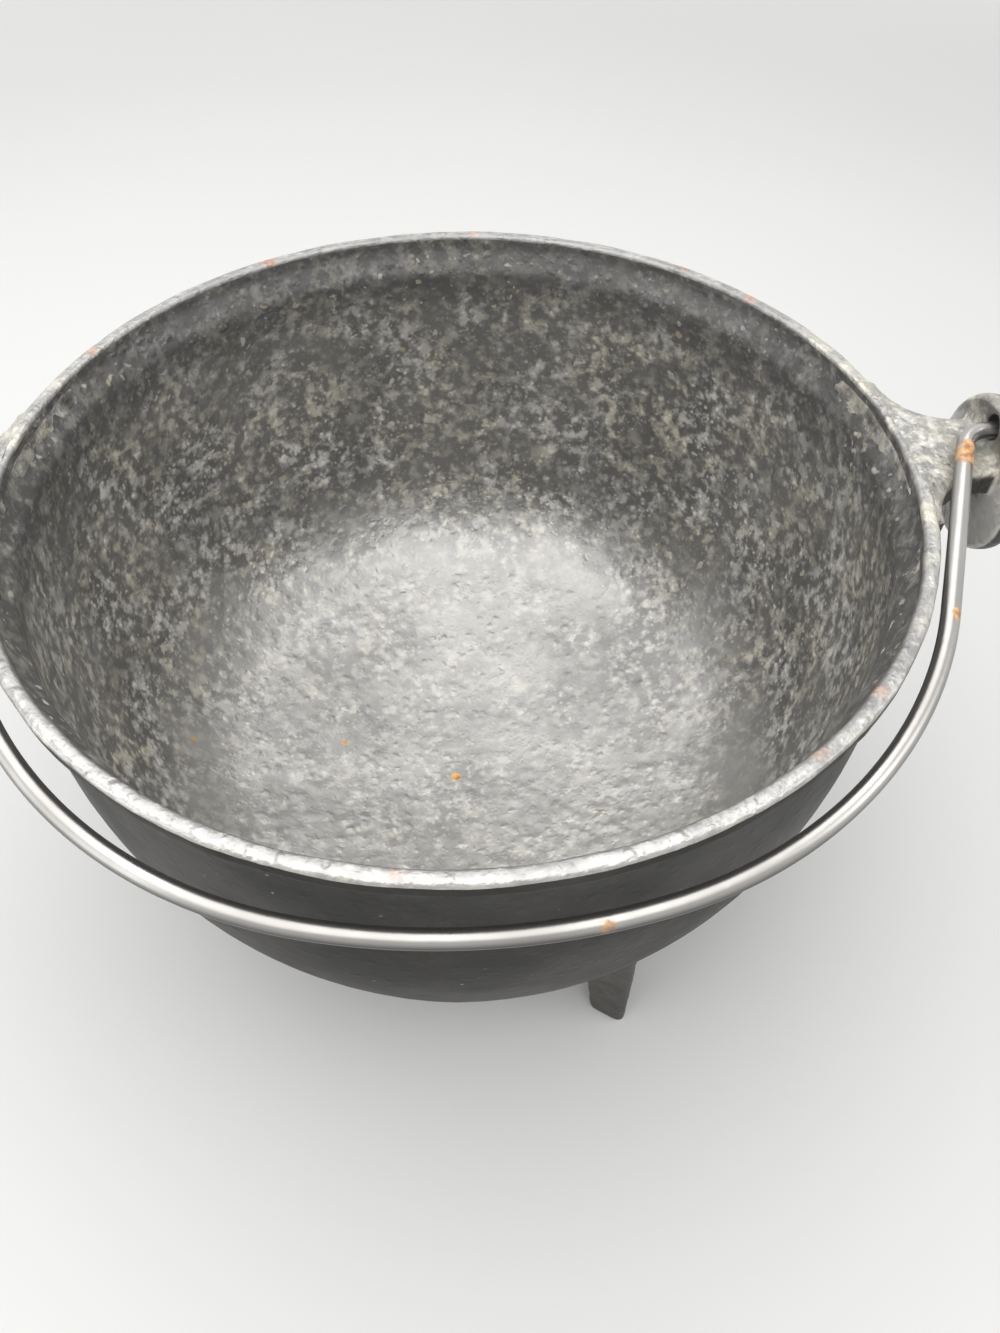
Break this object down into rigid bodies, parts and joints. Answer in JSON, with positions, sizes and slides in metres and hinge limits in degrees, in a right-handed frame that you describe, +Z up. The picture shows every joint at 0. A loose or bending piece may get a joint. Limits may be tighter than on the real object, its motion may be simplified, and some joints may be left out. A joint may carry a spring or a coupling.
{
  "type": "three-footed cauldron",
  "caption": "Small round-bellied iron cauldron on stub feet, open at the top, with round eared lugs at the lip and a swinging wire bail.",
  "frame": {"origin": "on the ground under the bowl's axis, in the plane of the three soles", "axes": "+Z up along the bowl's axis, +X through the right ear along the bail's hinge line, -Y the front, where the resting bail lies"},
  "size_m": [0.2456, 0.1957, 0.1369],
  "materials": {
    "iron": "rough sand-cast, seasoned, worn bright on the lip, spots of rust",
    "wire": "dark drawn wire, satin, rusted at its ends"
  },
  "bodies": {
    "pot": {"bowl": "iron", "ear_right": "iron", "ear_left": "iron", "foot_front": "iron", "foot_back": "iron", "foot_left": "iron"},
    "bail": {"bail": "wire"}
  },
  "joints": [
    {"name": "bail_swing", "type": "hinge", "parent": "pot", "child": "bail", "pos_m": [0, 0, 0.1314], "axis": [-1, 0, 0], "range_deg": [0, 196]}
  ]
}
